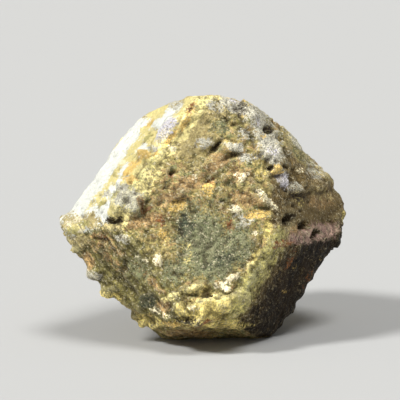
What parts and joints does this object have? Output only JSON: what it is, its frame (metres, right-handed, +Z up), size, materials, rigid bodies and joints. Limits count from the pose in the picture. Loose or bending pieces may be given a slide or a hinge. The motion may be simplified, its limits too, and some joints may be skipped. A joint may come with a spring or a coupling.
{
  "type": "garnet crystal",
  "caption": "Worn rhombic dodecahedral garnet crystal with crusted, pitted faces, narrow edge faces and a small flat underneath to rest on.",
  "frame": {"origin": "middle of the crystal's bounding box at its base, on the flat that it rests on", "axes": "+Z up, the large front face towards -Y, +X along the crystal's greatest width"},
  "size_m": [0.04, 0.0394, 0.0334],
  "materials": {
    "garnet": "rough, weathered olive-brown garnet with pale crust and green-grey faces"
  },
  "bodies": {
    "root": {"garnet_crystal": "garnet"}
  },
  "joints": []
}
